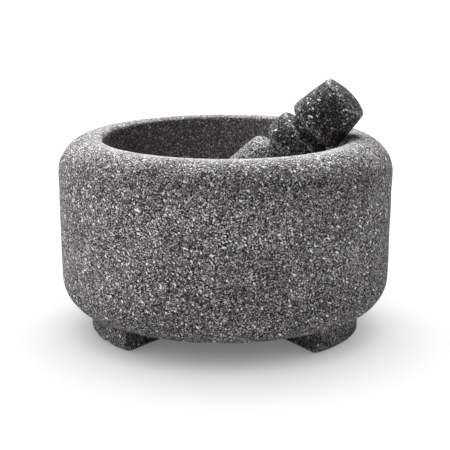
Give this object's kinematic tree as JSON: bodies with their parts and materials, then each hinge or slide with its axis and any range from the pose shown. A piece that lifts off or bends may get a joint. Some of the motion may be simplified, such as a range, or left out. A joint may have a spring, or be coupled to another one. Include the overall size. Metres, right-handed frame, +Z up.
{
  "type": "mortar and pestle",
  "caption": "Round stone mortar on three short carved feet, with a deep half-sphere bowl and a loose grooved pestle that leans in it.",
  "frame": {"origin": "on the surface the mortar stands on, under the middle of the whole object, which is the mortar's own axis", "axes": "+Z up; the pestle's knob leans towards +X, over the right side of the rim; one foot is at the back, towards +Y"},
  "size_m": [0.203, 0.203, 0.1525],
  "materials": {
    "mortar_stone": "pecked and rubbed, matte",
    "pestle_stone": "pecked and rubbed, matte"
  },
  "bodies": {
    "mortar": {"mortar": "mortar_stone"},
    "pestle": {"pestle": "pestle_stone"}
  },
  "joints": [
    {"name": "pestle_lift", "type": "slide", "parent": "mortar", "child": "pestle", "axis": [0, 0, 1], "range_m": [0, 0.15]}
  ]
}
